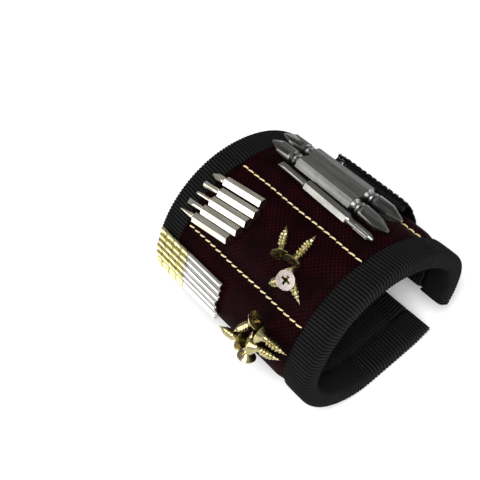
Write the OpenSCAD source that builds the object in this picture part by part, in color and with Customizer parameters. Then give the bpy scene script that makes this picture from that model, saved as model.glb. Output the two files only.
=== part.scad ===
// Magnetic tool wristband, closed on its hook-and-loop tail and loaded with small steel hardware.
// +Z up, +Y along the arm towards the hand, +X the closure side. The origin is on the rest face,
// below the middle of the band.

/* [Band section] */
// Half width of the closed band, tape to tape
a_half = 39.5; // [38:0.5:42]
// Height of the band above its widest level
b_top = 30; // [28:0.5:32]
// Height of the widest level above the rest face
b_low = 26; // [24:0.5:28]
// Corner radius at the two sides
r_side = 17; // [15:0.5:19]
// Half length of the flat the band rests on
flat_half = 10; // [8:0.5:12]

/* [Band] */
// Width of the band along the arm
band_w = 92; // [88:1:100]
// Distance between rows of cross stitching
pocket_pitch = 33; // [32:0.5:34]
// Place of the row between the bit pocket and the screw pocket
row_2 = 50.5; // [49:0.5:52]
// Width of the edge tape seen from outside
tape_w = 11.7; // [10:0.1:13]
// Thickness of the edge tape
tape_t = 0.9; // [0.8:0.1:1]
// Depth of the pull-in at a stitched row
groove = 1.1; // [0.6:0.1:1.3]
// Gap between two pieces of one body
gap = 0.05; // [0.05:0.01:0.08]
// Gap left each side of a flex line
flex_gap = 0.4; // [0.4:0.05:0.5]

/* [Magnets] */
// Magnet length along the arm
mag_l = 22; // [18:1:24]
// Magnet width round the wrist
mag_w = 12; // [8:1:12]
// Magnet thickness
mag_t = 2.4; // [2:0.1:2.5]

/* [Tail] */
// Width of the closing tail
tail_w = 38; // [34:1:42]
// Tail webbing thickness
tail_t = 1.2; // [1:0.1:1.4]
// Where the tail ends, past the widest point of the closure side
tail_end = 14; // [11:0.5:14]
// Lift of the free tail end
tail_lift = 2.2; // [1.6:0.1:2.6]

/* [Hardware] */
// Driver bit size across the flats
bit_af = 6.35; // [6:0.05:6.35]
// Double-ended driver bit length
bit_len = 65; // [60:1:66]
// Precision bit size across the flats
small_af = 4; // [3.6:0.1:4]
// Precision bit length
small_len = 28; // [26:1:30]
// Twist drill diameter
drill_d = 2.3; // [2:0.1:2.4]
// Twist drill length
drill_len = 40; // [36:1:42]

/* [Hidden] */
$fn = 32;
D = PI / 180;
w2 = band_w / 2;
ang_t = 2 * atan((b_top - r_side) / (a_half - r_side));
k_t = (a_half - r_side) / sin(ang_t);
r_top = r_side + k_t;
ang_l = 2 * atan((b_low - r_side) / (a_half - flat_half - r_side));
k_l = (a_half - flat_half - r_side) / sin(ang_l);
r_low = r_side + k_l;
u1 = r_side * (90 - ang_t) * D;
u2 = u1 + r_top * 2 * ang_t * D;
u3 = u2 + r_side * (180 - ang_t - ang_l) * D;
u4 = u3 + r_low * ang_l * D;
u5 = u4 + 2 * flat_half;
u6 = u5 + r_low * ang_l * D;
loop_len = u6 + r_side * (90 - ang_l) * D;
row_3 = row_2 - pocket_pitch;
row_1 = row_2 + pocket_pitch;
row_4 = row_2 + 2 * pocket_pitch;
row_5 = row_2 + 3 * pocket_pitch;
end_tail = row_2 + 4 * pocket_pitch;
end_loop = end_tail + 12 - loop_len;
in_w = w2 - tape_t - gap;
leg_y = w2 - tape_w;
o_shell = -tape_t - gap;
t_shell = 0.8;
o_pad = o_shell - t_shell - gap;
t_pad = 3.8;
o_lin = o_pad - t_pad - gap;
t_lin = 0.7;
o_leg = o_lin - t_lin - gap;
bulge = tape_t + gap;
c_cloth = [0.16, 0.03, 0.06];
c_black = [0.05, 0.05, 0.05];
c_thread = [0.85, 0.78, 0.45];
c_steel = [0.45, 0.46, 0.48];
c_nickel = [0.8, 0.78, 0.72];
c_zinc = [0.72, 0.62, 0.3];

// Heading of the outer path at arc length s, counted from the widest point of the closure side
function wrap(s) = s - loop_len * floor(s / loop_len);
function heading0(s) =
    s < u1 ? 90 + s / r_side / D :
    s < u2 ? 180 - ang_t + (s - u1) / r_top / D :
    s < u3 ? 180 + ang_t + (s - u2) / r_side / D :
    s < u4 ? 360 - ang_l + (s - u3) / r_low / D :
    s < u5 ? 360 :
    s < u6 ? 360 + (s - u5) / r_low / D :
    360 + ang_l + (s - u6) / r_side / D;
function centre0(s) =
    s < u1 ? [a_half - r_side, b_low] :
    s < u2 ? [0, b_low - k_t * cos(ang_t)] :
    s < u3 ? [r_side - a_half, b_low] :
    s < u4 ? [-flat_half, r_low] :
    s < u5 ? [s - u4 - flat_half, r_low] :
    s < u6 ? [flat_half, r_low] :
    [a_half - r_side, b_low];
function radius0(s) =
    s < u1 ? r_side :
    s < u2 ? r_top :
    s < u3 ? r_side :
    s < u6 ? r_low :
    r_side;
function heading(s) = heading0(wrap(s));
function out(h) = [sin(h), -cos(h)];
// Point of the path at s, moved out by o
function pt(s, o) = centre0(wrap(s)) + (radius0(wrap(s)) + o) * out(heading(s));

// Pull-in next to stitched rows: 0 in the middle of a pocket, groove at its rows
function ease(t) = t <= 0 ? 0 : t >= 1 ? 1 : t * t * (3 - 2 * t);
function pull(s, a, b) = groove * (1 - ease(min(s - a, b - s) / 7));
function pull_top(s, a, b) = (groove + bulge) * (1 - ease(min(s - a, b - s) / 7));

// Slab that follows the band from s0 to s1, between moves oo and oi, straight in Y from y0 to y1
module slab(s0, s1, oo, oi, y0, y1, n = 14) {
    p = concat(
        [for (i = [0:n]) pt(s0 + (s1 - s0) * i / n, oo)],
        [for (i = [n:-1:0]) pt(s0 + (s1 - s0) * i / n, oi)]
    );
    translate([0, y1, 0])
        rotate([90, 0, 0])
            linear_extrude(y1 - y0)
                polygon(p);
}

// Same, pulled in at the pocket rows a and b
module puffed(s0, s1, oo, oi, y0, y1, a, b, n = 18) {
    p = concat(
        [for (i = [0:n]) let (s = s0 + (s1 - s0) * i / n) pt(s, oo - pull(s, a, b))],
        [for (i = [n:-1:0]) let (s = s0 + (s1 - s0) * i / n) pt(s, oi - pull(s, a, b))]
    );
    translate([0, y1, 0])
        rotate([90, 0, 0])
            linear_extrude(y1 - y0)
                polygon(p);
}

// Local frame on the band: Z outward, Y along the arm, X towards the closure
module on_band(s, y, o) {
    q = pt(s, o);
    translate([q[0], y, q[1]])
        rotate([0, 180 - heading(s), 0])
            children();
}

// Ends of the pieces of one pocket: [start, end, start of stitching, end of stitching]
lim = [
    [end_loop + tape_t + gap, row_3 - gap / 2, end_loop - 9, row_3],
    [row_3 + gap / 2, row_2 - gap / 2, row_3, row_2],
    [row_2 + gap / 2, row_1 - gap / 2, row_2, row_1],
    [row_1 + gap / 2, row_4 - flex_gap, row_1, row_4],
    [row_4 + flex_gap, row_5 - flex_gap, row_4, row_5],
    [row_5 + flex_gap, end_tail - tape_t - gap, row_5, end_tail + 9]
];
function mid(k) = k == 0 ? (end_loop + row_3) / 2 : row_3 + pocket_pitch * (k - 0.5);

// Filled-out middle of a pocket, level with the edge tape
module filled(s0, s1, a, b, n = 20) {
    y = leg_y - gap;
    p = concat(
        [for (i = [0:n]) let (s = s0 + (s1 - s0) * i / n) pt(s, -pull_top(s, a, b))],
        [for (i = [n:-1:0]) let (s = s0 + (s1 - s0) * i / n) pt(s, o_shell - t_shell - pull(s, a, b))]
    );
    translate([0, y, 0])
        rotate([90, 0, 0])
            linear_extrude(2 * y)
                polygon(p);
}

module pocket(k) {
    a = lim[k][2];
    b = lim[k][3];
    color(c_cloth)
        union() {
            puffed(lim[k][0], lim[k][1], o_shell, o_shell - t_shell, -in_w, in_w, a, b, 20);
            if (k > 0)
                filled(lim[k][0], k == 5 ? end_tail - tape_w - gap : lim[k][1], a, b);
        }
}

module magnet_at(k, side, grow) {
    on_band(mid(k), side * (mag_l / 2 + 3), o_pad - 1.25 - mag_t / 2)
        cube([mag_w + grow, mag_l + grow, mag_t + grow], center = true);
}

module magnets(k) {
    color(c_steel)
        for (side = [-1, 1])
            magnet_at(k, side, 0);
}

// Padding of the pockets ka to kb, cut out for their magnets
module padding(ka, kb) {
    color(c_black)
        difference() {
            union()
                for (k = [ka:kb])
                    padding_run(k, k == ka ? lim[k][0] : lim[k][2], k == kb ? lim[k][1] : lim[k][3]);
            for (k = [max(ka, 1):kb])
                for (side = [-1, 1])
                    magnet_at(k, side, 0.1);
        }
}

module padding_run(k, s0, s1) {
    n = 18;
    p = concat(
        [for (i = [0:n]) let (s = s0 + (s1 - s0) * i / n) pt(s, o_pad - pull(s, lim[k][2], lim[k][3]))],
        [for (i = [n:-1:0]) pt(s0 + (s1 - s0) * i / n, o_pad - t_pad)]
    );
    translate([0, in_w, 0])
        rotate([90, 0, 0])
            linear_extrude(2 * in_w)
                polygon(p);
}

module lining(s0, s1) {
    color(c_black)
        slab(s0, s1, o_lin, o_lin - t_lin, -in_w, in_w, 40);
}

// Edge tape folded round both long edges, from s0 to s1
module edge_tape(s0, s1, n) {
    color(c_black)
        for (m = [0, 1])
            mirror([0, m, 0])
                union() {
                    slab(s0, s1, 0, -tape_t, leg_y, w2, n);
                    slab(s0, s1, o_leg, o_leg - tape_t, leg_y + 1, w2, n);
                    slab(s0, s1, 0, o_leg - tape_t, w2 - tape_t, w2, n);
                }
}

// End tape folded round one end of the band; dir is +1 when the band lies on the +s side
module end_tape(s0, dir) {
    y = leg_y - gap;
    sa = min(s0, s0 + dir * tape_w);
    sb = max(s0, s0 + dir * tape_w);
    wa = min(s0, s0 + dir * tape_t);
    wb = max(s0, s0 + dir * tape_t);
    color(c_black)
        union() {
            slab(sa, sb, 0, -tape_t, -y, y, 8);
            slab(sa, sb, o_leg, o_leg - tape_t, -y, y, 8);
            slab(wa, wb, 0, o_leg - tape_t, -y, y, 2);
        }
}

// Thread dashes of one cross row, lying in the pulled-in groove
module stitch_row(s, up = 0, n = 20) {
    span = 2 * leg_y - 1.6;
    color(c_thread)
        for (i = [0:n - 1])
            on_band(s, -span / 2 + span * (i + 0.5) / n, 0.42 + up - groove - bulge)
                rotate([90, 0, 0])
                    cylinder(h = span / n * 0.62, d = 0.7, center = true, $fn = 16);
}

module loop_patch() {
    color(c_black)
        slab(end_loop + tape_w + 0.3, row_3 - 2.4, -0.05, o_shell + gap, -tail_w / 2 - 2, tail_w / 2 + 2, 16);
}

// Move of the tail's inner face: sewn in at the band's end, riding over the closure, free at the end
function tail_in(s) =
    -2.9 + 4.2 * ease((s - end_tail) / 12) + tail_lift * ease((s - loop_len - tail_end + 12) / 12);

module tail_slab(s0, s1, oa, ob, y0, y1, n) {
    p = concat(
        [for (i = [0:n]) let (s = s0 + (s1 - s0) * i / n) pt(s, tail_in(s) + ob)],
        [for (i = [n:-1:0]) let (s = s0 + (s1 - s0) * i / n) pt(s, tail_in(s) + oa)]
    );
    translate([0, y1, 0])
        rotate([90, 0, 0])
            linear_extrude(y1 - y0)
                polygon(p);
}

tail_a = end_tail + flex_gap;
tail_b = end_tail + 14;
tail_c = loop_len + tail_end;

module tail_root() {
    color(c_black)
        tail_slab(tail_a, tail_b - flex_gap / 2, 0, tail_t, -tail_w / 2, tail_w / 2, 12);
}

module tail_web() {
    color(c_black)
        tail_slab(tail_b + flex_gap / 2, tail_c, 0, tail_t, -tail_w / 2, tail_w / 2, 24);
}

module hook_pad() {
    color([0.08, 0.08, 0.08])
        tail_slab(tail_b + 1.2, tail_c - 0.6, -1, -0.05, -tail_w / 2 + 0.8, tail_w / 2 - 0.8, 24);
}

// Thread rows that hold the hook pad, along both long edges and across the free end
module tail_stitch() {
    n = 9;
    sa = tail_b + 3;
    sb = tail_c - 3;
    color(c_black) {
        for (i = [0:n - 1]) {
            s = sa + (sb - sa) * (i + 0.5) / n;
            for (m = [-1, 1])
                on_band(s, m * (tail_w / 2 - 2.2), tail_in(s) + tail_t + 0.48)
                    cube([1.9, 0.5, 0.5], center = true);
        }
        for (i = [-5:5])
            on_band(sb + 0.8, i * 2.9, tail_in(sb + 0.8) + tail_t + 0.5)
                cube([0.5, 1.9, 0.5], center = true);
    }
}

// Hexagonal rod along Z with a flat facing Y
module hex(af, h) {
    cylinder(h = h, d = af / cos(30), $fn = 6);
}

// Cross-point tip along +Z from z = 0; the flutes run from root at the collar to edge at the point
module cross_tip(r, h, root, edge) {
    lean = atan((root - edge) / (0.93 * h));
    difference() {
        union() {
            cylinder(h = h * 0.56, r = r);
            translate([0, 0, h * 0.56])
                cylinder(h = h * 0.44, r1 = r, r2 = r * 0.16);
        }
        for (q = [0:3])
            rotate([0, 0, 90 * q + 45])
                translate([root, 0, h * 0.07])
                    rotate([0, -lean, 0])
                        rotate([0, 0, -45])
                            cube([r * 2, r * 2, h * 1.2]);
    }
}

// Double-ended cross-point bit along Y, centred
module driver_bit() {
    hexl = bit_len * 0.46;
    color(c_steel)
        rotate([90, 0, 0]) {
            translate([0, 0, -hexl / 2])
                hex(bit_af, hexl);
            for (m = [0, 1])
                mirror([0, 0, m]) {
                    translate([0, 0, hexl / 2 - 0.2])
                        cylinder(h = 1.3, d1 = bit_af * 0.98, d2 = 3.6);
                    translate([0, 0, hexl / 2 + 1])
                        cylinder(h = 3, d = 3.6);
                    translate([0, 0, hexl / 2 + 1.5])
                        rotate_extrude()
                            polygon([[0, 0], [1.8, 0], [2.6, 0.5], [2.8, 1.1], [2.6, 1.7], [1.8, 2.2], [0, 2.2]]);
                    translate([0, 0, hexl / 2 + 3.9])
                        cylinder(h = 0.6, d1 = 3.6, d2 = 6);
                    translate([0, 0, hexl / 2 + 4.4])
                        cross_tip(3, bit_len / 2 - hexl / 2 - 4.4, 1.8, 0.45);
                }
        }
}

// Thin double-ended bit along Y: flat blade at +Y, grooved point at -Y
module thin_bit() {
    color(c_nickel)
        rotate([90, 0, 0]) {
            translate([0, 0, -10])
                hex(4, 23);
            translate([0, 0, -11])
                cylinder(h = 1.1, d1 = 2.8, d2 = 3.9);
            translate([0, 0, 12.8])
                cylinder(h = 1.3, d1 = 3.9, d2 = 2.9);
            difference() {
                translate([0, 0, -26])
                    cylinder(h = 16, d = 2.8);
                for (m = [-1, 1])
                    translate([0, m * 1.25, -26])
                        rotate([-m * 9, 0, 0])
                            cube([4, 1.6, 14], center = true);
            }
            difference() {
                union() {
                    translate([0, 0, 13])
                        cylinder(h = 11, d = 2.9);
                    translate([0, 0, 24])
                        cylinder(h = 2, d1 = 2.9, d2 = 1);
                }
                for (q = [0:5])
                    rotate([0, 0, 60 * q])
                        translate([1.75, 0, 17])
                            cylinder(h = 10, d = 0.9, $fn = 16);
            }
        }
}

// Precision bit along Y, tip at +Y; kind picks the working end
module small_bit(kind) {
    hl = small_len * 0.69;
    color(c_nickel)
        rotate([-90, 0, 0])
            translate([0, 0, -small_len / 2]) {
                rotate([0, 0, 30])
                    hex(small_af, hl);
                translate([0, 0, hl - 0.2])
                    cylinder(h = 1.4, d1 = small_af * 0.98, d2 = 2.5);
                if (kind == 0) {
                    translate([0, 0, hl + 1.1])
                        cylinder(h = 1.3, d = 2.2);
                    translate([0, 0, hl + 2.3])
                        cylinder(h = small_len - hl - 2.3, d1 = 2.2, d2 = 0.4);
                }
                if (kind == 1) {
                    difference() {
                        translate([0, 0, hl + 1.1])
                            cylinder(h = small_len - hl - 1.1, d1 = 2.3, d2 = 2.5);
                        for (m = [-1, 1])
                            translate([0, m * 1.25, small_len])
                                rotate([m * 11, 0, 0])
                                    cube([4, 1.5, 13], center = true);
                    }
                }
                if (kind == 2) {
                    translate([0, 0, hl + 1.1])
                        cylinder(h = small_len - hl - 2.2, d = 1.5);
                    translate([0, 0, small_len - 1.2])
                        cylinder(h = 1.2, d1 = 1.5, d2 = 0.8);
                }
                if (kind == 3) {
                    difference() {
                        translate([0, 0, hl + 1.1])
                            cylinder(h = small_len - hl - 1.1, d = 2.4);
                        for (q = [0:5])
                            rotate([0, 0, 60 * q])
                                translate([1.45, 0, hl + 3])
                                    cylinder(h = 10, d = 0.8, $fn = 16);
                    }
                }
                if (kind == 4)
                    translate([0, 0, hl + 1.1])
                        cross_tip(1.45, 6.4, 1.1, 0.26);
            }
}

// Twist drill along Y, point at +Y
module drill() {
    fl = drill_len * 0.5;
    r = drill_d / 2;
    color(c_nickel)
        rotate([-90, 0, 0])
            translate([0, 0, -drill_len / 2]) {
                cylinder(h = 0.4, r1 = r - 0.3, r2 = r);
                translate([0, 0, 0.4])
                    cylinder(h = drill_len - fl - 0.4, r = r);
                translate([0, 0, drill_len - fl - 0.01])
                    linear_extrude(fl - 0.9, twist = -720, slices = 24)
                        difference() {
                            circle(r = r, $fn = 12);
                            for (m = [-1, 1])
                                translate([0, m * (r + 0.05)])
                                    circle(r = r * 0.5, $fn = 6);
                        }
                translate([0, 0, drill_len - 0.92])
                    cylinder(h = 0.9, r1 = r * 0.62, r2 = 0.1);
            }
}

// Countersunk wood screw, head top at the origin, tip at -len on Z
module screw(len, d = 3.5, hd = 7.2) {
    pitch = 1.35;
    hh = 2.3;
    n = floor((len - hh - 1.4) / pitch);
    core = d * 0.31;
    function slim(z) = min(1, max(0.12, (z + len) / 4.5));
    prof = concat(
        [[0, -len]],
        [for (i = [0:n - 1]) let (z = -len + 0.7 + i * pitch) each [
            [core * slim(z), z],
            [d / 2 * slim(z + 0.5), z + pitch * 0.42],
            [d / 2 * slim(z + 0.6), z + pitch * 0.56]
        ]],
        [[core, -len + 0.7 + n * pitch], [d * 0.38, -hh - 0.3], [d * 0.42, -hh], [hd / 2, -0.35]],
        [[hd / 2, 0], [0, 0]]
    );
    color(c_zinc)
        difference() {
            rotate_extrude($fn = 32)
                polygon(prof);
            for (q = [0, 90])
                rotate([0, 0, q])
                    translate([0, 0, -0.5])
                        cube([hd * 0.52, hd * 0.13, 2], center = true);
            translate([0, 0, -1.9])
                cylinder(h = 2, d1 = 0.6, d2 = 1.7);
        }
}

// Screw from head h to tip t, in the local frame
module screw_between(h, t, spin) {
    v = t - h;
    len = norm(v);
    translate(h)
        rotate([0, 180 - acos(v[2] / len), 0] + [0, 0, atan2(-v[1], -v[0])])
            rotate([0, 0, spin])
                screw(len);
}

// Clusters: [head, tip, spin] with places as [round the wrist, along the arm, above the tape level]
upper = [
    [[17.9, -12.3, 4.1], [8.8, -4.5, 2.5], 10],
    [[17.0, -18.1, 4.3], [4.8, -15.8, 2.3], 40],
    [[22.0, -24.0, 9.6], [27.5, -15.0, 3.0], 0],
    [[20.0, -19.1, 4.1], [25.7, -30.0, 2.5], 65]
];
lower = [
    [[39.6, -19.1, 4.2], [48.8, -12.0, 5.6], 15],
    [[50.6, -15.9, 4.2], [52.4, -3.2, 5.0], 50],
    [[42.5, -23.1, 4.2], [42.6, -35.4, 2.2], 30],
    [[48.2, -21.5, 4.3], [45.7, -34.1, 2.8], 70],
    [[55.3, -18.7, 4.2], [44.3, -18.7, 3.1], 5]
];
function place(q) = let (p = pt(row_2 + q[0], q[2])) [p[0], q[1], p[1]];

module cluster(list) {
    for (c = list)
        screw_between(place(c[0]), place(c[1]), c[2]);
}

// Rod-shaped item lying on the cloth: u0 and u1 its ends round the wrist, tip first
module lying(ut, ub, y, lift, roll = 0) {
    on_band(row_2 + (ut + ub) / 2, y, lift)
        children();
}

bit_lift = bit_af / 2 + 0.35;
small_lift = small_af / 2 + 0.35;
edge_lift = small_af / 2 / cos(30) + 0.3;
module ph2_bit_front() {
    lying(-13.2, -14.1, 0.4, bit_lift)
        rotate([0, 0, -0.8])
            driver_bit();
}
module ph2_bit_back() {
    lying(-22.4, -21.6, 2.9, bit_lift)
        rotate([0, 0, 0.7])
            driver_bit();
}
module double_ended_bit() {
    lying(-7.1, -8.6, -5.2, small_lift)
        rotate([0, 0, -1.7])
            thin_bit();
}

small_u = [[25.4, 29.2, 23.8], [21.2, 25.0, 22.3], [17.0, 20.8, 21.6], [12.8, 16.6, 21.3], [8.5, 12.3, 23]];
module precision_bit(i) {
    c = small_u[i];
    lying(c[0], c[1], c[2], edge_lift)
        rotate([0, 0, 7.4])
            small_bit(i);
}

drill_pitch = drill_d + 0.2;
module twist_drill(i) {
    u = 41.2 + i * drill_pitch;
    lying(u, u, 23.6 - 0.5 * (i % 3), drill_d / 2 + 0.35)
        drill();
}

module upper_screws() {
    cluster(upper);
}

module lower_screws() {
    cluster(lower);
}

pocket(0);  // pocket_cloth_0
pocket(1);  // pocket_cloth_1
pocket(2);  // pocket_cloth_2
pocket(3);  // pocket_cloth_3
pocket(4);  // pocket_cloth_4
pocket(5);  // pocket_cloth_5
magnets(1);  // magnets_1
magnets(2);  // magnets_2
magnets(3);  // magnets_3
magnets(4);  // magnets_4
magnets(5);  // magnets_5
padding(0, 3);  // padding_cuff
padding(4, 4);  // padding_side
padding(5, 5);  // padding_base
lining(lim[0][0], lim[3][1]);  // lining_cuff
lining(lim[4][0], lim[4][1]);  // lining_side
lining(lim[5][0], lim[5][1]);  // lining_base
edge_tape(end_loop, lim[3][1], 60);  // edge_tape_cuff
edge_tape(lim[4][0], lim[4][1], 16);  // edge_tape_side
edge_tape(lim[5][0], end_tail, 16);  // edge_tape_base
end_tape(end_loop, 1);  // end_tape_closure
end_tape(end_tail, -1);  // end_tape_tail
stitch_row(row_1);  // stitch_row_1
stitch_row(row_2);  // stitch_row_2
stitch_row(row_3);  // stitch_row_3
stitch_row(row_4 + flex_gap + 0.5, 0.3);  // stitch_row_4
stitch_row(row_5 + flex_gap + 0.5, 0.3);  // stitch_row_5
loop_patch();
tail_root();
tail_web();
hook_pad();
tail_stitch();
ph2_bit_front();
ph2_bit_back();
double_ended_bit();
precision_bit(0);  // precision_bit_1
precision_bit(1);  // precision_bit_2
precision_bit(2);  // precision_bit_3
precision_bit(3);  // precision_bit_4
precision_bit(4);  // precision_bit_5
twist_drill(0);  // twist_drill_1
twist_drill(1);  // twist_drill_2
twist_drill(2);  // twist_drill_3
twist_drill(3);  // twist_drill_4
twist_drill(4);  // twist_drill_5
twist_drill(5);  // twist_drill_6
twist_drill(6);  // twist_drill_7
upper_screws();
lower_screws();
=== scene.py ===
import math

import bpy
import numpy as np
from mathutils import Matrix, Vector


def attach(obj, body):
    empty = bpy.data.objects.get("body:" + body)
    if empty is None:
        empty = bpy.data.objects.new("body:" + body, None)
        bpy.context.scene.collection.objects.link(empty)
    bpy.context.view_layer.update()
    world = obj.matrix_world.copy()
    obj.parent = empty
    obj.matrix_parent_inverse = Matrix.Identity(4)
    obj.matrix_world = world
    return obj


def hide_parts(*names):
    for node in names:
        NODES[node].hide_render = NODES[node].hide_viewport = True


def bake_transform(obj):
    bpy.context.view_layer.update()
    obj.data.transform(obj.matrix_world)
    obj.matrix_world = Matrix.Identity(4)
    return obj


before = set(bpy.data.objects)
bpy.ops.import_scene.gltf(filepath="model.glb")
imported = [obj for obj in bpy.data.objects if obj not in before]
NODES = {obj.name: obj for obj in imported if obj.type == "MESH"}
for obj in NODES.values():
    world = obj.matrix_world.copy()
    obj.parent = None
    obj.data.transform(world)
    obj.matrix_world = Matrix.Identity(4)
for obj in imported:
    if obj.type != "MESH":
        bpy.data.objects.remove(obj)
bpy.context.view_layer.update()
rng = np.random.default_rng(7)

# ---------------------------------------------------------------- the band's section, in mm
# half width, height above and below the widest level, side radius, half of the flat foot
A, BT, BL, RC, X0 = 39.5, 30.0, 26.0, 17.0, 10.0
# half the band's width along the arm, and the width of the edge tape
W2, TAPE = 46.0, 11.7
LEG = W2 - TAPE
PITCH, ROW2 = 33.0, 50.5
AT = 2 * math.degrees(math.atan((BT - RC) / (A - RC)))
KT = (A - RC) / math.sin(math.radians(AT))
RT = RC + KT
AL = 2 * math.degrees(math.atan((BL - RC) / (A - X0 - RC)))
KL = (A - X0 - RC) / math.sin(math.radians(AL))
RL = RC + KL
LEN = np.array([
    RC * math.radians(90 - AT), RT * math.radians(2 * AT), RC * math.radians(180 - AT - AL),
    RL * math.radians(AL), 2 * X0, RL * math.radians(AL), RC * math.radians(90 - AL),
])
KNOT = np.concatenate([[0], np.cumsum(LEN)])
LOOP = KNOT[-1]
HEAD = np.array([90, 180 - AT, 180 + AT, 360 - AL, 360, 360, 360 + AL, 450.0])
CEN = np.array([
    (A - RC, BL), (0, BL - KT * math.cos(math.radians(AT))), (RC - A, BL), (-X0, RL), (0, RL),
    (X0, RL), (A - RC, BL),
])
RAD = np.array([RC, RT, RC, RL, RL, RL, RC])
ROW3, ROW1, ROW4, ROW5 = ROW2 - PITCH, ROW2 + PITCH, ROW2 + 2 * PITCH, ROW2 + 3 * PITCH
# the ends of the band: E2 carries the tail, E1 the closure, with a gap left between them
END_GAP = 12
E2 = ROW2 + 4 * PITCH
E1 = E2 + END_GAP - LOOP
MID4, MID5 = ROW4 - PITCH / 2, ROW4 + PITCH / 2
MID6 = ROW5 + PITCH / 2


def path(s, o=0.0):
    """Points of the outer path at arc length s, moved out by o: x, z and heading, arrays in mm."""
    s = np.asarray(s, float)
    w = s - LOOP * np.floor(s / LOOP)
    i = np.clip(np.searchsorted(KNOT, w, side="right") - 1, 0, 6)
    t = (w - KNOT[i]) / LEN[i]
    h = np.radians(HEAD[i] + (HEAD[i + 1] - HEAD[i]) * t)
    cx = CEN[i, 0] + np.where(i == 4, (t - 0.5) * 2 * X0, 0)
    x = cx + (RAD[i] + o) * np.sin(h)
    z = CEN[i, 1] - (RAD[i] + o) * np.cos(h)
    return x, z, h


def pts(s, y, o):
    """Row-frame points in metres from band coordinates in mm."""
    s, y, o = np.broadcast_arrays(np.asarray(s, float), np.asarray(y, float), np.asarray(o, float))
    x, z, _ = path(s, o)
    return np.stack([x, y, z], -1) / 1000


def ease(t):
    t = np.clip(t, 0, 1)
    return t * t * (3 - 2 * t)


def noise(x, y, seed, scale):
    """Smooth seeded noise, about -1 to 1."""
    r = np.random.default_rng(seed)
    out = 0
    for k in range(5):
        a, b = r.normal(0, 1 / scale, 2)
        out = out + np.sin(a * x + b * y + r.uniform(0, 6.28))
    return out / 2.4


# ---------------------------------------------------------------- mesh helpers
def mesh_object(name, verts, faces, mat, coords=None):
    me = bpy.data.meshes.new(name)
    verts = np.asarray(verts, np.float32).reshape(-1, 3)
    faces = np.asarray(faces, np.int32)
    k = faces.shape[1]
    me.vertices.add(len(verts))
    me.vertices.foreach_set("co", verts.ravel())
    me.loops.add(faces.size)
    me.loops.foreach_set("vertex_index", faces.ravel())
    me.polygons.add(len(faces))
    me.polygons.foreach_set("loop_start", np.arange(0, faces.size, k, dtype=np.int32))
    me.update(calc_edges=True)
    me.validate()
    me.polygons.foreach_set("use_smooth", np.ones(len(me.polygons), bool))
    if coords is not None:
        at = me.attributes.new("cloth", "FLOAT_VECTOR", "POINT")
        at.data.foreach_set("vector", np.asarray(coords, np.float32).reshape(-1, 3).ravel())
    me.materials.append(mat)
    ob = bpy.data.objects.new(name, me)
    bpy.context.scene.collection.objects.link(ob)
    return ob


def grid_faces(nu, nv, flip=False, base=0, wrap_v=False):
    i = np.arange(nu - 1)[:, None]
    j = np.arange(nv if wrap_v else nv - 1)[None, :]
    a = i * nv + j
    b = a + nv
    c = i * nv + (j + 1) % nv
    d = c + nv
    q = np.stack([a, b, d, c], -1) if not flip else np.stack([a, c, d, b], -1)
    return q.reshape(-1, 4) + base


def sheet_object(name, s, y, o, mat, flip=False, coords=None):
    """s, y, o are (nu, nv) arrays in mm."""
    P = pts(s, y, o)
    if coords is None:
        coords = np.stack(np.broadcast_arrays(s, y, o), -1)
    return mesh_object(name, P, grid_faces(P.shape[0], P.shape[1], flip), mat, coords)


def chord(s0, s1):
    """Blend ends across a row, in metres."""
    a, b = pts(s0, 0.0, -1.0), pts(s1, 0.0, -1.0)
    return tuple(a), tuple(b)


def across(obj, row, toward, half=6.0):
    """Bakes obj's transform; the ends of a chord across the stitched row, on the side that toward points to, are
    worked out but not used.
    """
    start, end = chord(row - toward * half, row + toward * half)
    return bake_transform(obj)


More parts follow.
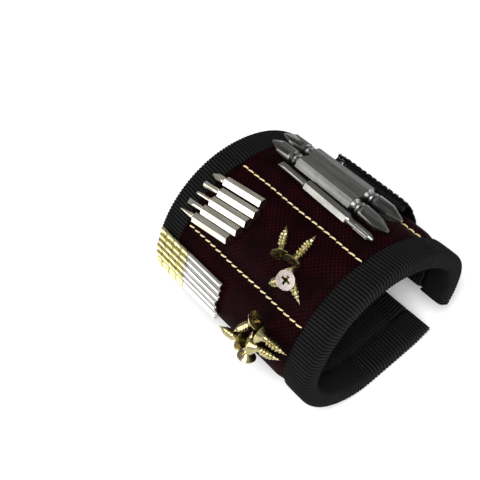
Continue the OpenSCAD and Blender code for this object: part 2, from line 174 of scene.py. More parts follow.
# ---------------------------------------------------------------- node helpers
class Tree:
    def __init__(self, name):
        self.mat = bpy.data.materials.new(name)
        self.mat.use_nodes = True
        self.t = self.mat.node_tree
        self.t.nodes.clear()
        self.out = self.t.nodes.new("ShaderNodeOutputMaterial")
        self.b = self.t.nodes.new("ShaderNodeBsdfPrincipled")
        self.t.links.new(self.b.outputs[0], self.out.inputs[0])

    def n(self, kind, **kw):
        node = self.t.nodes.new("ShaderNode" + kind)
        for k, v in kw.items():
            setattr(node, k, v)
        return node

    def put(self, sock, value):
        if isinstance(value, bpy.types.NodeSocket):
            self.t.links.new(value, sock)
        else:
            sock.default_value = value

    def math(self, op, a, b=0.0, c=None):
        m = self.n("Math", operation=op)
        self.put(m.inputs[0], a)
        self.put(m.inputs[1], b)
        if c is not None:
            self.put(m.inputs[2], c)
        return m.outputs[0]

    def mix(self, f, a, b):
        m = self.n("Mix", data_type="RGBA")
        self.put(m.inputs[0], f)
        self.put(m.inputs[6], a)
        self.put(m.inputs[7], b)
        return m.outputs[2]

    def noise(self, vec, scale, detail=3.0, rough=0.5):
        m = self.n("TexNoise")
        if vec is not None:
            self.put(m.inputs["Vector"], vec)
        m.inputs["Scale"].default_value = scale
        m.inputs["Detail"].default_value = detail
        m.inputs["Roughness"].default_value = rough
        return m.outputs["Fac"]

    def ramp(self, f, lo, hi, a=0.0, b=1.0):
        m = self.n("MapRange")
        self.put(m.inputs[0], f)
        for i, v in zip((1, 2, 3, 4), (lo, hi, a, b)):
            m.inputs[i].default_value = v
        return m.outputs[0]

    def bump(self, height, strength, dist):
        m = self.n("Bump")
        self.put(m.inputs["Height"], height)
        m.inputs["Strength"].default_value = strength
        m.inputs["Distance"].default_value = dist
        return m.outputs[0]

    def split(self, name="cloth"):
        a = self.n("Attribute", attribute_name=name)
        x = self.n("SeparateXYZ")
        self.put(x.inputs[0], a.outputs["Vector"])
        return a.outputs["Vector"], x.outputs[0], x.outputs[1], x.outputs[2]

    def obj(self):
        return self.n("TexCoord").outputs["Object"]

    def scaled(self, vec, sx, sy, sz):
        m = self.n("Mapping")
        self.put(m.inputs[0], vec)
        m.inputs["Scale"].default_value = (sx, sy, sz)
        return m.outputs[0]


# side of one cell of the weave, mm
CELL = 1.0


def weave_height(s, y):
    """Plain heavy weave: 0 in the gaps, 1 on the thread crests."""
    i, j = np.floor(s / CELL), np.floor(y / CELL)
    over = (i + j) % 2 == 0
    fs, fy = s / CELL - i - 0.5, y / CELL - j - 0.5
    across_, along = np.where(over, fs, fy), np.where(over, fy, fs)
    return np.cos(np.pi * across_) ** 0.8 * (0.55 + 0.45 * np.cos(np.pi * along))


def cloth_material():
    t = Tree("maroon_cloth")
    vec, s, y, _ = t.split()
    cs, cy = t.math("DIVIDE", s, CELL), t.math("DIVIDE", y, CELL)
    par = t.math("MODULO", t.math("ADD", t.math("FLOOR", cs), t.math("ADD", t.math("FLOOR", cy), 4000.0)), 2.0)
    over = t.math("LESS_THAN", par, 0.5)
    fs = t.math("SUBTRACT", t.math("FRACT", cs), 0.5)
    fy = t.math("SUBTRACT", t.math("FRACT", cy), 0.5)
    fib = t.noise(t.scaled(vec, 6.0, 6.0, 1.0), 2.2, 4.0, 0.7)
    ax = t.mix(over, fy, fs)
    edge = t.math("COSINE", t.math("MULTIPLY", ax, math.pi))
    blotch = t.noise(vec, 0.09, 3.0)
    warp = t.mix(t.ramp(blotch, 0.35, 0.65), (0.0045, 0.0004, 0.0009, 1), (0.019, 0.0011, 0.003, 1))
    weft = (0.0026, 0.0006, 0.0009, 1)
    col = t.mix(over, weft, warp)
    # painted shade: each thread's colour darkens towards its edges, where it dips into the gaps of the weave
    col = t.mix(t.math("MULTIPLY", t.ramp(edge, 0.1, 0.75, 1.0, 0.0), 0.85), col, (0.0009, 0.0004, 0.0005, 1))
    col = t.mix(t.math("MULTIPLY", t.ramp(fib, 0.55, 0.8), 0.3), col, (0.045, 0.008, 0.011, 1))
    t.put(t.b.inputs["Base Color"], col)
    t.put(t.b.inputs["Roughness"], t.ramp(fib, 0.3, 0.7, 0.5, 0.72))
    t.b.inputs["Specular IOR Level"].default_value = 0.02
    strand = t.n("TexWave", wave_type="BANDS", bands_direction="DIAGONAL")
    t.put(strand.inputs["Vector"], vec)
    strand.inputs["Scale"].default_value = 1.6
    strand.inputs["Distortion"].default_value = 1.5
    h = t.math("ADD", t.math("MULTIPLY", edge, 0.6), t.math("MULTIPLY", strand.outputs["Fac"], 0.3))
    t.put(t.b.inputs["Normal"], t.bump(h, 0.5, 0.00012))
    return t.mat


def tape_material(name, base=(0.0007, 0.0007, 0.0008, 1), hi=(0.024, 0.024, 0.0255, 1)):
    """Black ribbed tape: fine yarns across each rib, with a painted highlight on the rib crests. The z of cloth is
    0 between ribs, 1 on a rib.
    """
    t = Tree(name)
    vec, s, y, rib = t.split()
    fib = t.noise(t.scaled(vec, 1.6, 7.0, 0.0), 2.6, 4.0, 0.7)
    blotch = t.noise(vec, 0.12, 3.0)
    fine = t.n("TexWave", wave_type="BANDS", bands_direction="Y")
    t.put(fine.inputs["Vector"], vec)
    fine.inputs["Scale"].default_value = 0.75
    fine.inputs["Distortion"].default_value = 1.2
    # painted highlight: the rib crests are mixed towards the hi colour
    col = t.mix(t.math("MULTIPLY", t.ramp(rib, 0.35, 1.0), t.ramp(fib, 0.35, 0.75, 0.2, 1.0)), base, hi)
    col = t.mix(t.math("MULTIPLY", t.ramp(blotch, 0.4, 0.7), 0.35), col, (0.003, 0.003, 0.0034, 1))
    t.put(t.b.inputs["Base Color"], col)
    t.put(t.b.inputs["Roughness"], t.ramp(fib, 0.3, 0.7, 0.55, 0.8))
    t.b.inputs["Specular IOR Level"].default_value = 0.03
    h = t.math("ADD", t.math("MULTIPLY", fine.outputs["Fac"], 0.5), t.math("MULTIPLY", fib, 0.6))
    t.put(t.b.inputs["Normal"], t.bump(h, 0.55, 0.00014))
    return t.mat


def knit_material(name, base, hi, scale=1.0):
    t = Tree(name)
    vec, s, y, _ = t.split()
    v = t.n("TexVoronoi", feature="F1")
    t.put(v.inputs["Vector"], t.scaled(vec, 1.0, 0.7, 0.0))
    v.inputs["Scale"].default_value = 0.95 * scale
    v.inputs["Randomness"].default_value = 0.25
    fib = t.noise(vec, 5.0, 3.0, 0.7)
    f = t.ramp(v.outputs["Distance"], 0.1, 0.55)
    t.put(t.b.inputs["Base Color"], t.mix(f, base, t.mix(fib, base, hi)))
    t.put(t.b.inputs["Roughness"], t.ramp(fib, 0.3, 0.7, 0.7, 0.92))
    t.b.inputs["Specular IOR Level"].default_value = 0.08
    t.put(t.b.inputs["Normal"], t.bump(t.math("ADD", f, t.math("MULTIPLY", fib, 0.5)), 0.7, 0.0003))
    return t.mat


def thread_material(name, base, hi):
    t = Tree(name)
    vec, s, y, _ = t.split()
    fib = t.noise(t.scaled(vec, 3.0, 3.0, 1.0), 3.0, 4.0, 0.7)
    ply = t.n("TexWave", wave_type="BANDS", bands_direction="DIAGONAL")
    t.put(ply.inputs["Vector"], vec)
    ply.inputs["Scale"].default_value = 0.9
    t.put(t.b.inputs["Base Color"], t.mix(t.math("MULTIPLY", ply.outputs["Fac"], t.ramp(fib, 0.2, 0.8)), base, hi))
    t.put(t.b.inputs["Roughness"], t.ramp(fib, 0.3, 0.7, 0.45, 0.7))
    t.b.inputs["Specular IOR Level"].default_value = 0.2
    t.put(t.b.inputs["Normal"], t.bump(t.math("ADD", ply.outputs["Fac"], fib), 0.5, 0.00015))
    return t.mat


def metal_material(name, dark, light, rough, grain=(900, 40, 900), wear=0.1, tint=None, gold=None, head_glint_and_shade=None):
    """Plated steel: fine drawn lines, soft blotches, a few pits. gold = (y, colours) plates one end, pale = (point,
    axis, radius, colour) paints a highlight on the flat face of one head round a point, and painted shade in its
    cross recess."""
    t = Tree(name)
    vec = t.obj()
    lines = t.noise(t.scaled(vec, *grain), 1.0, 3.0, 0.6)
    blotch = t.noise(vec, 230.0, 3.0, 0.55)
    pits = t.noise(vec, 3200.0, 2.0, 0.6)
    col = t.mix(t.ramp(lines, 0.25, 0.75), dark, light)
    col = t.mix(t.math("MULTIPLY", t.ramp(blotch, 0.45, 0.75), 0.4), col, dark)
    if tint:
        col = t.mix(t.ramp(t.noise(vec, 420.0, 3.0), 0.42, 0.6), col, tint[0])
        col = t.mix(t.math("MULTIPLY", t.ramp(t.noise(vec, 610.0, 2.0), 0.52, 0.7), 0.7), col, tint[1])
    if gold:
        x = t.n("SeparateXYZ")
        t.put(x.inputs[0], vec)
        f = t.ramp(t.math("ADD", x.outputs[1], t.math("MULTIPLY", blotch, 0.0012)), gold[0], gold[0] + 0.0012)
        col = t.mix(f, col, t.mix(t.ramp(lines, 0.3, 0.7), gold[1], gold[2]))
    if head_glint_and_shade:
        # painted highlight on only the flat face of that head: within its radius and above the plane just under it
        point, axis, radius, colour = head_glint_and_shade
        d = t.n("VectorMath", operation="DISTANCE")
        t.put(d.inputs[0], vec)
        d.inputs[1].default_value = point
        h = t.n("VectorMath", operation="DOT_PRODUCT")
        t.put(h.inputs[0], vec)
        h.inputs[1].default_value = axis
        at = sum(p * q for p, q in zip(point, axis))
        near = t.ramp(d.outputs["Value"], radius * 0.97, radius, 1.0, 0.0)
        deep = t.ramp(h.outputs["Value"], at - 0.0012, at - 0.0004, 1.0, 0.0)
        high = t.ramp(h.outputs["Value"], at - 0.0004, at - 0.0002)
        # painted highlight colour for that head's face
        face = t.mix(blotch, colour, (0.85, 0.78, 0.74, 1))
        col = t.mix(t.math("MULTIPLY", t.math("MULTIPLY", near, high), 0.9), col, face)
        # painted shade: the cross recess of that head, inside part of its radius and below its face, goes
        # near-black
        recess_shade = t.math("MULTIPLY", t.ramp(d.outputs["Value"], radius * 0.5, radius * 0.62, 1.0, 0.0), deep)
        col = t.mix(t.math("MULTIPLY", recess_shade, 0.95), col, (0.02, 0.015, 0.008, 1))
    t.put(t.b.inputs["Base Color"], col)
    t.b.inputs["Metallic"].default_value = 1.0
    dull = t.math("ADD", blotch, t.math("MULTIPLY", pits, 0.4))
    t.put(t.b.inputs["Roughness"], t.ramp(dull, 0.45, 0.95, rough[0], rough[1]))
    h = t.math("ADD", t.math("MULTIPLY", lines, 0.7), t.math("MULTIPLY", pits, 0.5))
    t.put(t.b.inputs["Normal"], t.bump(h, wear, 0.00004))
    return t.mat


# the screw whose head faces out of the upper heap; its head face carries a painted highlight and its cross recess
# painted shade
HEAD_TOP, HEAD_TIP = pts(ROW2 + 22.0, -24.0, 9.6), pts(ROW2 + 27.5, -15.0, 3.0)
HEAD_AXIS = (HEAD_TOP - HEAD_TIP) / np.linalg.norm(HEAD_TOP - HEAD_TIP)
M = {
    "cloth": cloth_material(),
    # the hi colours of the tape and the webbing are a painted highlight on their rib crests
    "tape": tape_material("edge_tape"),
    "web": tape_material("tail_webbing", (0.0007, 0.0007, 0.0008, 1), (0.013, 0.013, 0.014, 1)),
    "lining": knit_material("lining", (0.0018, 0.0018, 0.002, 1), (0.014, 0.014, 0.016, 1)),
    "pile": knit_material("pile", (0.0015, 0.0015, 0.0015, 1), (0.009, 0.009, 0.01, 1), 1.6),
    "cream": thread_material("cream_thread", (0.62, 0.5, 0.23, 1), (0.93, 0.86, 0.6, 1)),
    "black": thread_material("black_thread", (0.002, 0.002, 0.0025, 1), (0.014, 0.014, 0.015, 1)),
    "dark": metal_material("dark_steel", (0.12, 0.12, 0.117, 1), (0.3, 0.3, 0.29, 1), (0.26, 0.4), wear=0.3),
    "mid": metal_material("grey_nickel", (0.15, 0.147, 0.135, 1), (0.33, 0.325, 0.3, 1), (0.26, 0.38), wear=0.2),
    "nickel": metal_material("nickel_steel", (0.52, 0.48, 0.38, 1), (0.84, 0.8, 0.7, 1), (0.14, 0.24), wear=0.2),
    "drill": metal_material(
        "drill_steel", (0.45, 0.44, 0.42, 1), (0.8, 0.79, 0.77, 1), (0.12, 0.22), wear=0.2,
        gold=(0.0245, (0.42, 0.37, 0.14, 1), (0.82, 0.77, 0.44, 1)),
    ),
    "zinc": metal_material(
        "yellow_zinc", (0.2, 0.155, 0.05, 1), (0.6, 0.54, 0.31, 1), (0.17, 0.3), grain=(500, 500, 500),
        tint=((0.34, 0.32, 0.14, 1), (0.48, 0.33, 0.26, 1)),
        # painted highlight on the facing head's face and painted shade in its cross recess
        head_glint_and_shade=(tuple(HEAD_TOP), tuple(HEAD_AXIS), 0.0039, (0.68, 0.57, 0.53, 1)),
    ),
    "magnet": metal_material("magnet", (0.02, 0.02, 0.022, 1), (0.06, 0.06, 0.062, 1), (0.5, 0.7)),
}
for n, o in NODES.items():
    for key, start in (
        ("dark", "ph2"), ("mid", "double"), ("nickel", "precision"), ("drill", "twist"),
        ("zinc", "upper_screws"), ("zinc", "lower_screws"), ("magnet", "magnets"),
    ):
        if n.startswith(start):
            o.data.materials.clear()
            o.data.materials.append(M[key])


# ---------------------------------------------------------------- outer cloth, pocket by pocket
ROWS = [ROW3, ROW2, ROW1, ROW4, ROW5]
# length of a stitched row, the stitches in it, and the pitch of one stitch
STITCH = 2 * LEG - 1.6
STITCHES = 20
DASH = STITCH / STITCHES
# height of the yarns of the cloth, mm
WEAVE_RELIEF = 0.22


def cloth_offset(s, y, a, b):
    """Height of the cloth over the outer path: filled in the middle, pulled in at the rows and the tape."""
    near = np.minimum(s - a, b - s)
    row = 1 - ease(near / 7.5)
    o = -2.0 * row ** 1.15
    side = LEG - np.abs(y)
    o = o - 0.85 * (1 - ease(side / 5.5)) * (1 - 0.75 * row)
    phase = (y + STITCH / 2) / DASH
    pucker = np.exp(-np.maximum(near, 0) / 1.6) - np.exp(-np.maximum(near, 0) / 0.4)
    o = o + 0.16 * np.cos(2 * np.pi * phase) * pucker
    o = o + 0.18 * noise(s, y, 3, 9.0) * ease(near / 4) * ease(side / 3) - 0.16
    return o


def pocket(name, s0, s1, a, b, step=0.2):
    ns = int(round((s1 - s0) / step)) + 1
    ny = int(round((2 * LEG + 1.6) / step)) + 1
    s = np.linspace(s0, s1, ns)[:, None] * np.ones((1, ny))
    y = np.linspace(-LEG - 0.8, LEG + 0.8, ny)[None, :] * np.ones((ns, 1))
    drift = 0.35 * noise(s, y, 11, 14.0)
    skew = 0.25 * noise(s, y, 12, 12.0)
    o = cloth_offset(s, y, a, b) + WEAVE_RELIEF * (weave_height(s + drift, y + skew) - 0.55)
    coords = np.stack([s + drift, y + skew, o], -1)
    ob = sheet_object(name, s, y, o, M["cloth"], coords=coords)
    return ob


p0 = pocket("cloth_0", E1 + 11.0, ROW3, E1 - 20, ROW3)
p1 = pocket("cloth_1", ROW3, ROW2, ROW3, ROW2)
p2 = pocket("cloth_2", ROW2, ROW1, ROW2, ROW1)
p3a = pocket("cloth_3a", ROW1, MID4, ROW1, ROW4)
p3b = pocket("cloth_3b", MID4, ROW4, ROW1, ROW4)
p4a = pocket("cloth_4a", ROW4, MID5, ROW4, ROW5)
p4b = pocket("cloth_4b", MID5, ROW5, ROW4, ROW5)
p5a = pocket("cloth_5a", ROW5, MID6, ROW5, E2 + 20)
p5b = pocket("cloth_5b", MID6, E2 - 11.0, ROW5, E2 + 20)
for k, ob in enumerate((p0, p1, p2, p3a)):
    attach(ob, "cuff")
    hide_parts(f"pocket_cloth_{k}")
for ob in (p3b, p4a):
    across(ob, ROW4, -1)
for ob in (p4b, p5a):
    across(ob, ROW5, -1)
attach(p5b, "base")
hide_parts("pocket_cloth_4")
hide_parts("pocket_cloth_5")

# ---------------------------------------------------------------- ribbed edge tape
# pitch of the ribs and their height, mm
RIB = 1.4
RIB_RELIEF = 0.42


def rib_height(t):
    return np.abs(np.cos(np.pi * t / RIB)) ** 0.9


def tape_profile(n=44):
    """(distance in from the band's edge, offset) round the folded tape, outer cut edge to inner cut edge."""
    ctrl = np.array([
        (TAPE - 0.15, -1.35), (TAPE, -0.75), (TAPE - 0.4, -0.15), (TAPE - 1.6, 0.0), (7.0, 0.06), (3.4, 0.04),
        (1.5, -0.08), (0.55, -0.5), (0.08, -1.5), (0.0, -3.7), (0.1, -5.6), (0.6, -6.75), (2.4, -7.2), (6.5, -7.28),
        (TAPE - 1.8, -7.2), (TAPE - 1.1, -6.95), (TAPE - 1.0, -6.35),
    ])
    d = np.concatenate([[0], np.cumsum(np.hypot(*np.diff(ctrl, axis=0).T))])
    m = np.zeros_like(ctrl)
    m[1:-1] = (ctrl[2:] - ctrl[:-2]) / (d[2:] - d[:-2])[:, None]
    m[0], m[-1] = (ctrl[1] - ctrl[0]) / (d[1] - d[0]), (ctrl[-1] - ctrl[-2]) / (d[-1] - d[-2])
    q = np.linspace(0, d[-1], n)
    i = np.clip(np.searchsorted(d, q, side="right") - 1, 0, len(d) - 2)
    h = (d[i + 1] - d[i])[:, None]
    t = ((q - d[i]) / (d[i + 1] - d[i]))[:, None]
    h00, h10, h01, h11 = 2 * t**3 - 3 * t**2 + 1, t**3 - 2 * t**2 + t, -2 * t**3 + 3 * t**2, t**3 - t**2
    P = h00 * ctrl[i] + h10 * h * m[i] + h01 * ctrl[i + 1] + h11 * h * m[i + 1]
    T = np.gradient(P, axis=0)
    N = np.stack([-T[:, 1], T[:, 0]], -1)
    N /= np.hypot(*N.T)[:, None]
    # out of the tape: away from its middle
    c = np.array([5.5, -3.6])
    N *= np.sign(((P - c) * N).sum(1))[:, None]
    return P, N, q


def edge_tape(name, s0, s1, side):
    P, N, q = tape_profile()
    n = int(round((s1 - s0) / 0.15)) + 1
    s = np.linspace(s0, s1, n)[:, None]
    lean = 0.5 * np.sin(q / 9.0)[None, :] + 0.25 * noise(s, q[None, :], 21, 16.0)
    r = rib_height(s + lean)
    d = P[:, 0][None, :] + N[:, 0][None, :] * RIB_RELIEF * (r - 1.0)
    o = P[:, 1][None, :] + N[:, 1][None, :] * RIB_RELIEF * (r - 1.0)
    wav = 0.16 * noise(s, 0 * s, 23 + side, 7.0)
    pull = sum(np.exp(-(((s - row) / 2.6) ** 2)) for row in ROWS)
    outer = ease((P[:, 1] + 4.5) / 4.0)[None, :]
    o = o - 0.55 * pull * outer * ease(P[:, 0] / 9.0)[None, :] + (wav - 0.1) * outer * 0.5
    y = side * (W2 - np.maximum(d, 0.02) + 0 * s)
    coords = np.stack(np.broadcast_arrays(s + lean, q[None, :] + 0 * s, r), -1)
    ob = sheet_object(name, s + 0 * o, y, o, M["tape"], flip=side < 0, coords=coords)
    return ob


for side, tag in ((1, "hand"), (-1, "arm")):
    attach(edge_tape("tape_cuff_" + tag, E1, MID4, side), "cuff")
    across(edge_tape("tape_high_" + tag, MID4, MID5, side), ROW4, -1)
    across(edge_tape("tape_low_" + tag, MID5, MID6, side), ROW5, -1)
    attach(edge_tape("tape_base_" + tag, MID6, E2, side), "base")
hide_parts("edge_tape_cuff")
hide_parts("edge_tape_side")
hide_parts("edge_tape_base")


def end_tape(name, s_end, into):
    """The same tape folded round an end of the band; into is the sense of s that leads into the band."""
    P, N, q = tape_profile()
    ys = np.linspace(-W2 + 0.7, W2 - 0.7, 620)[:, None]
    r = rib_height(ys + 0.4 * np.sin(q / 9.0)[None, :])
    d = P[:, 0][None, :] + N[:, 0][None, :] * RIB_RELIEF * (r - 1.0)
    o = P[:, 1][None, :] + N[:, 1][None, :] * RIB_RELIEF * (r - 1.0)
    # under the side tapes at its ends
    tuck = ease((np.abs(ys) - LEG + 0.8) / 1.2)
    o = o + tuck * np.clip(-3.65 - o, -1, 1)
    d = d + tuck * 0.9
    s = s_end + into * np.maximum(d, 0.02)
    coords = np.stack(np.broadcast_arrays(ys + 0 * s, q[None, :] + 0 * s, r), -1)
    ob = sheet_object(name, s, ys + 0 * s, o, M["tape"], flip=into > 0, coords=coords)
    return ob


end1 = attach(end_tape("tape_end_closure", E1, 1), "cuff")
end2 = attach(end_tape("tape_end_tail", E2, -1), "base")
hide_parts("end_tape_closure")
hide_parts("end_tape_tail")


def cap(name, s_end, side, into):
    """Folded corner that closes the side tape's cut end."""
    P = tape_profile()[0]
    rings = []
    prof = np.stack([side * (W2 - P[:, 0]), P[:, 1]], -1)
    c = np.array([side * (W2 - 5.6), -3.6])
    for k in range(9):
        f = 1 - (k / 8.0) ** 1.6
        rings.append((s_end - into * 0.9 * math.sin(k / 8 * math.pi / 2) * 0.9, c + (prof - c) * f))
    s = np.stack([np.full(len(prof), a) for a, _ in rings])
    y = np.stack([p[:, 0] for _, p in rings])
    o = np.stack([p[:, 1] for _, p in rings])
    coords = np.stack([y, o, 0.6 + 0 * o], -1)
    ob = sheet_object(name, s, y, o, M["tape"], flip=(side * into) > 0, coords=coords)
    return ob


for side, tag in ((1, "hand"), (-1, "arm")):
    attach(cap("tape_corner_closure_" + tag, E1 + 0.8, side, 1), "cuff")
    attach(cap("tape_corner_tail_" + tag, E2 - 0.8, side, -1), "base")


# ---------------------------------------------------------------- lining
def lining(name, s0, s1):
    ns = int(round((s1 - s0) / 0.8)) + 1
    s = np.linspace(s0, s1, ns)[:, None] * np.ones((1, 90))
    y = np.linspace(-LEG - 1.6, LEG + 1.6, 90)[None, :] * np.ones((ns, 1))
    near = np.min(np.abs(s[..., None] - np.array(ROWS)), -1)
    o = -7.0 + 0.75 * np.exp(-((near / 2.4) ** 2)) + 0.6 * (1 - ease((LEG - np.abs(y)) / 3.0))
    o = o + 0.12 * noise(s, y, 31, 6.0)
    ob = sheet_object(name, s, y, o, M["lining"], flip=True)
    return ob


l1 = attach(lining("lining_cuff_in", E1 + 10.5, MID4), "cuff")
l2 = across(lining("lining_high_in", MID4, MID5), ROW4, -1)
l3 = across(lining("lining_low_in", MID5, MID6), ROW5, -1)
l4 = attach(lining("lining_base_in", MID6, E2 - 10.5), "base")
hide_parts("lining_cuff", "padding_cuff")
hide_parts("lining_side", "padding_side")
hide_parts("lining_base", "padding_base")


# ---------------------------------------------------------------- threads
def dash(centre_s, y0, y1, off, thick, slant, seed, dip=0.45, nt=15, nr=12):
    """One visible stitch: a twisted two-ply thread that dives into the cloth at both ends."""
    t = np.linspace(-1, 1, nt)[:, None]
    a = np.linspace(0, 2 * np.pi, nr, endpoint=False)[None, :]
    r0 = thick / 2 * np.sqrt(np.clip(1 - np.abs(t) ** 4.0 * 0.88, 0, 1))
    ply = 1 + 0.16 * np.cos(2 * a - 7.0 * t + seed)
    y = (y0 + y1) / 2 + (y1 - y0) / 2 * t
    o = off - dip * np.abs(t) ** 3.2 + r0 * ply * np.sin(a) * 0.9
    s = centre_s + slant * t + r0 * ply * np.cos(a) * 1.08
    P = pts(s, y + 0 * s, o)
    return P, np.stack(np.broadcast_arrays(s, y + 0 * s, o), -1)


def thread_row(name, jobs, mat):
    V, C, F, base = [], [], [], 0
    for P, co in jobs:
        nt, nr = P.shape[:2]
        V.append(P.reshape(-1, 3))
        C.append(co.reshape(-1, 3))
        F.append(grid_faces(nt, nr, base=base, wrap_v=True))
        base += nt * nr
    ob = mesh_object(name, np.concatenate(V), np.concatenate(F), mat, np.concatenate(C))
    return ob


# rows 4 and 5 lie just beside their flex lines
SEWN = ((ROW1, "cuff"), (ROW2, "cuff"), (ROW3, "cuff"), (ROW4 + 0.9, "side"), (ROW5 + 0.9, "base"))
for k, (row, body) in enumerate(SEWN):
    jobs = []
    for i in range(STITCHES):
        c = -STITCH / 2 + DASH * (i + 0.5) + rng.uniform(-0.12, 0.12)
        half = DASH * 0.42 + rng.uniform(-0.08, 0.08)
        ds = 0.12 * math.sin(i * 0.7 + k)
        jobs.append(dash(row + ds, c - half, c + half, -1.42 if k < 3 else -1.3, 0.62, 0.22, i + k))
    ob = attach(thread_row(f"cream_row_{k + 1}", jobs, M["cream"]), body)
    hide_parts(f"stitch_row_{k + 1}")


# ---------------------------------------------------------------- tail, hook pad, loop patch
# where the tail starts, its flex line, its free end, and half its width
TA, TB, TC, TW = E2 + 0.2, E2 + 14.0, LOOP + 14.0, 19.0
TAIL_RAMP, TAIL_STEP, TAIL_LIFT = 12, 4.2, 2.2


def tail_in(s):
    """Offset of the tail's inner face: sewn in at E2, over the closure, lifted at the free end."""
    return -2.9 + TAIL_STEP * ease((s - E2) / TAIL_RAMP) + TAIL_LIFT * ease((s - TC + TAIL_RAMP) / TAIL_RAMP)


def webbing(name, s0, s1):
    """Woven strap, both faces and its selvedges, with fine ribs across it."""
    n = int(round((s1 - s0) / 0.16)) + 1
    s = np.linspace(s0, s1, n)[:, None]
    m = 30
    a = np.linspace(0, 2 * np.pi, 2 * m, endpoint=False)[None, :]
    ca, sa = np.cos(a), np.sin(a)
    yy = TW * np.sign(ca) * np.abs(ca) ** 0.16
    oo = 0.6 * np.sign(sa) * np.abs(sa) ** 0.35
    r = np.abs(np.cos(np.pi * s / 0.9 + 0.25 * np.sin(yy))) ** 0.8
    o = tail_in(s) + 0.6 + oo * (0.86 + 0.14 * r) + 0 * s
    fray = 0.25 * noise(s * 3, yy, 44, 2.0)
    y = yy + np.where(np.abs(yy) > TW - 1, fray, 0)
    coords = np.stack(np.broadcast_arrays(s + 0 * y, y, r + 0 * y), -1)
    P = pts(s + 0 * y, y, o)
    faces = grid_faces(n, 2 * m, wrap_v=True, flip=True)
    ob = mesh_object(name, P, faces, M["web"], coords)
    return ob


MIDT = (TA + TB) / 2
w1 = webbing("tail_low", TA - 0.6, MIDT)
w2 = webbing("tail_high", MIDT, TC)
tuple(pts(TA - 0.5, 0, -1.7))
tuple(pts(TA + 2.0, 0, -1.7))
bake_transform(w1)
tuple(pts(TB - 4.0, 0, 1.9))
tuple(pts(TB + 4.0, 0, 1.9))
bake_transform(w2)
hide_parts("tail_root")
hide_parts("tail_web")


def tufts(name, where, count, length, body, seed, mat="pile"):
    """Short bent fibres on a surface: where(r) gives s, y, offset, outward sense and the lean along s and y."""
    r = np.random.default_rng(seed)
    V, C, F, base = [], [], [], 0
    for _ in range(count):
        s, y, o, sgn, ds, dy = where(r)
        L = length * r.uniform(0.5, 1.25)
        th = r.uniform(0.07, 0.13)
        bend_s, bend_y = r.normal(0, 0.45) * L, r.normal(0, 0.45) * L
        t = np.linspace(0, 1, 5)[:, None]
        a = np.linspace(0, 2 * np.pi, 4, endpoint=False)[None, :]
        w = th * (1.15 - t)
        ss = s + ds * t * L + bend_s * t * t + w * np.cos(a)
        yy = y + dy * t * L + bend_y * t * t + w * np.sin(a)
        oo = o + sgn * L * np.sin(t * 1.9) * 0.75 + 0 * ss
        V.append(pts(ss, yy, oo).reshape(-1, 3))
        C.append(np.stack([ss, yy, oo], -1).reshape(-1, 3))
        F.append(grid_faces(5, 4, base=base, wrap_v=True))
        base += 20
    ob = mesh_object(name, np.concatenate(V), np.concatenate(F), M[mat], np.concatenate(C))
    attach(ob, body)


def pile_surface(name, s0, s1, half, fo, body, flip, step=0.35, amp=0.12, seed=5):
    """Rough ground of the hook or loop pile, at the offset fo(s)."""
    n, m = int((s1 - s0) / step) + 1, int(2 * half / step) + 1
    s = np.linspace(s0, s1, n)[:, None] * np.ones((1, m))
    y = np.linspace(-half, half, m)[None, :] * np.ones((n, 1))
    r = np.random.default_rng(seed)
    o = fo(s) + amp * (r.uniform(-1, 1, s.shape))
    ob = sheet_object(name, s, y, o, M["pile"], flip=flip)
    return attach(ob, body)


hook = pile_surface(
    "hook_face", TB + 1.2, TC - 0.6, TW - 0.8, lambda s: tail_in(s) - 0.35, "tail", True,
)
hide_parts("hook_pad")
loop = pile_surface(
    "loop_face", E1 + 12.0, ROW3 - 2.4, TW + 2, lambda s: -0.45 + 0 * s, "cuff", False,
)
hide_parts("loop_patch")


def hook_where(r):
    s, y = r.uniform(TB + 1.6, TC - 0.9), r.uniform(-TW + 1, TW - 1)
    return s, y, float(tail_in(s)) - 0.35, -1, 0.0, 0.0


def loop_where(r):
    return r.uniform(E1 + 12.2, ROW3 - 2.6), r.uniform(-TW - 1.8, TW + 1.8), -0.5, 1, 0.0, 0.0


def end_where(r):
    y = r.uniform(-TW, TW)
    o = r.uniform(-1.3, 1.2)
    return TC - r.uniform(0, 1.6), y, float(tail_in(TC)) + o, -1.6 if o < 0 else r.choice([-0.6, 0.8]), 0.8, 0.0


tufts("hook_tufts", hook_where, 2600, 0.55, "tail", 1)
tufts("loop_tufts", loop_where, 3200, 0.4, "cuff", 2)
tufts("tail_end_fray", end_where, 1900, 1.25, "tail", 3, mat="black")

# stitching that holds the hook pad: both long edges, then the free end
jobs = []
for m in (-1, 1):
    n = 12
    for i in range(n):
        a = TB + 3 + (TC - TB - 6) * (i + 0.5) / n
        t = np.linspace(-1, 1, 11)[:, None]
        g = np.linspace(0, 2 * np.pi, 10, endpoint=False)[None, :]
        r0 = 0.3 * np.sqrt(np.clip(1 - np.abs(t) ** 4 * 0.88, 0, 1))
        s = a + 0.95 * t + 0 * g
        y = m * (TW - 2.2) + r0 * np.cos(g)
        o = tail_in(s) + 1.25 - 0.2 * np.abs(t) ** 3 + r0 * np.sin(g)
        jobs.append((pts(s, y, o), np.stack(np.broadcast_arrays(s, y, o), -1)))
for i in range(-5, 6):
    jobs.append(dash(TC - 2.2, i * 2.9 - 1.1, i * 2.9 + 1.1, float(tail_in(TC - 2.2)) + 1.35, 0.6, 0.0, i, 0.2))
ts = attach(thread_row("tail_thread", jobs, M["black"]), "tail")
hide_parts("tail_stitch")

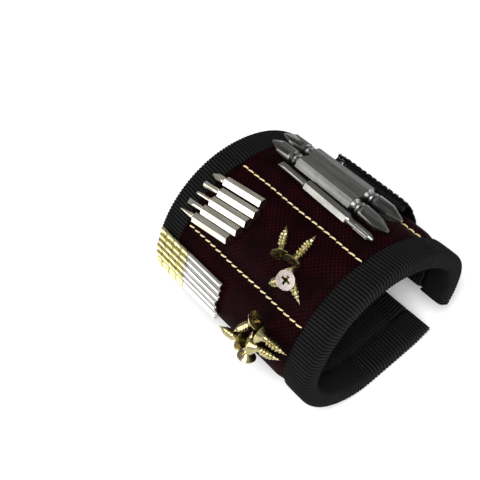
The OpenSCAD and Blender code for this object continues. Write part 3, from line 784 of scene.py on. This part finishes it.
# ---------------------------------------------------------------- floor, world, camera, lights
t = Tree("floor")
fn = t.noise(t.obj(), 3.0, 2.0)
t.put(t.b.inputs["Base Color"], t.mix(fn, (0.93, 0.93, 0.93, 1), (0.955, 0.955, 0.955, 1)))
t.put(t.b.inputs["Roughness"], t.ramp(fn, 0.3, 0.7, 0.5, 0.6))
me = bpy.data.meshes.new("floor")
me.from_pydata([(-3, -3, 0), (3, -3, 0), (3, 3, 0), (-3, 3, 0)], [], [(0, 1, 2, 3)])
me.materials.append(t.mat)
floor = bpy.data.objects.new("floor", me)
floor.location.z = -0.0002
bpy.context.scene.collection.objects.link(floor)

world = bpy.data.worlds.new("world")
bpy.context.scene.world = world
world.use_nodes = True
world.node_tree.nodes["Background"].inputs[0].default_value = (1, 1, 1, 1)
world.node_tree.nodes["Background"].inputs[1].default_value = 0.36

# view angles in degrees, distance in metres, lens in millimetres
AZ, EL, ROLL, DIST, LENS = -28.8, 53.8, -14.8, 0.356, 68.4
a, e, r = (math.radians(v) for v in (AZ, EL, ROLL))
back = Vector((math.sin(a) * math.cos(e), -math.cos(a) * math.cos(e), math.sin(e)))
right = Vector((math.cos(a), math.sin(a), 0))
up = back.cross(right)
right, up = right * math.cos(r) + up * math.sin(r), up * math.cos(r) - right * math.sin(r)
centre = Vector((0, 0, BL / 1000))
eye = centre + back * DIST
# the band sits right of the middle of the view
target = centre - right * 0.025 + up * 0.0078
fwd = (target - eye).normalized()
right = (right - fwd * right.dot(fwd)).normalized()
up = right.cross(fwd)
cam = bpy.data.objects.new("camera", bpy.data.cameras.new("camera"))
cam.data.lens, cam.data.sensor_width = LENS, 36.0
cam.matrix_world = Matrix((
    (right.x, up.x, -fwd.x, eye.x), (right.y, up.y, -fwd.y, eye.y), (right.z, up.z, -fwd.z, eye.z), (0, 0, 0, 1),
))
cam.data.clip_start, cam.data.clip_end = 0.01, 20
bpy.context.scene.collection.objects.link(cam)
bpy.context.scene.camera = cam


def area(name, direction, dist, size, energy, shape=(1, 1)):
    light = bpy.data.lights.new(name, "AREA")
    light.shape = "RECTANGLE"
    light.size, light.size_y = size * shape[0], size * shape[1]
    light.energy = energy
    ob = bpy.data.objects.new(name, light)
    d = Vector(direction).normalized()
    ob.location = centre + d * dist
    ob.rotation_mode = "QUATERNION"
    ob.rotation_quaternion = d.to_track_quat("Z", "Y")
    bpy.context.scene.collection.objects.link(ob)


area("key", (-0.3, -0.35, 1.0), 1.2, 0.6, 14)
area("left", (-0.85, 0.5, 0.3), 1.0, 0.8, 5, (1, 0.8))
area("front", (-0.2, -1.0, 0.6), 1.2, 0.6, 6)
area("right", (0.8, -0.68, 0.14), 1.1, 0.5, 3.2)
bpy.context.scene.view_settings.view_transform = "Standard"
